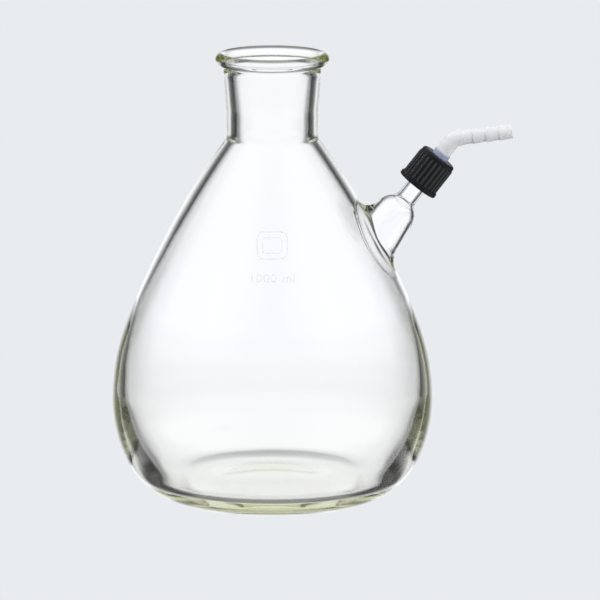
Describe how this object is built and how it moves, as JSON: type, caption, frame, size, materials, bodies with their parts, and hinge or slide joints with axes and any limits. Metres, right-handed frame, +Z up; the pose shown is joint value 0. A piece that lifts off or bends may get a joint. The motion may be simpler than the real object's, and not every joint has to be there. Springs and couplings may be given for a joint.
{
  "type": "buchner flask",
  "caption": "Heavy-walled pear-shaped glass vacuum filter flask with a beaded neck, an angled side arm, a ribbed screw cap and a bent barbed hose nozzle.",
  "frame": {"origin": "centre of the foot, on the plane the flask stands on", "axes": "+Z up along the flask's axis, +X towards the side arm and hose nozzle"},
  "size_m": [0.1683, 0.1348, 0.1908],
  "materials": {
    "glass": "clear borosilicate, faintly green in thick edges",
    "cap_plastic": "black moulded plastic, fine axial ribs",
    "silicone": "pale translucent silicone",
    "nozzle_plastic": "natural translucent polypropylene"
  },
  "bodies": {
    "flask": {"flask_body": "glass", "side_arm": "glass"},
    "seal": {"seal_ring": "silicone"},
    "screw_cap": {"screw_cap": "cap_plastic"},
    "hose_nozzle": {"hose_nozzle": "nozzle_plastic"}
  },
  "joints": [
    {"name": "cap_travel", "type": "slide", "parent": "flask", "child": "seal", "axis": [0.6157, 0, 0.788], "range_m": [0, 0.006]},
    {"name": "cap_turn", "type": "hinge", "parent": "seal", "child": "screw_cap", "pos_m": [0.06464, 0, 0.13974], "axis": [0.6157, 0, 0.788], "range_deg": [0, 1080]},
    {"name": "nozzle_swivel", "type": "hinge", "parent": "seal", "child": "hose_nozzle", "pos_m": [0.06464, 0, 0.13974], "axis": [0.6157, 0, 0.788], "continuous": true}
  ],
  "couplings": [
    {"joint": "cap_travel", "follows": "cap_turn", "m_per_rad": 0.00031831}
  ]
}
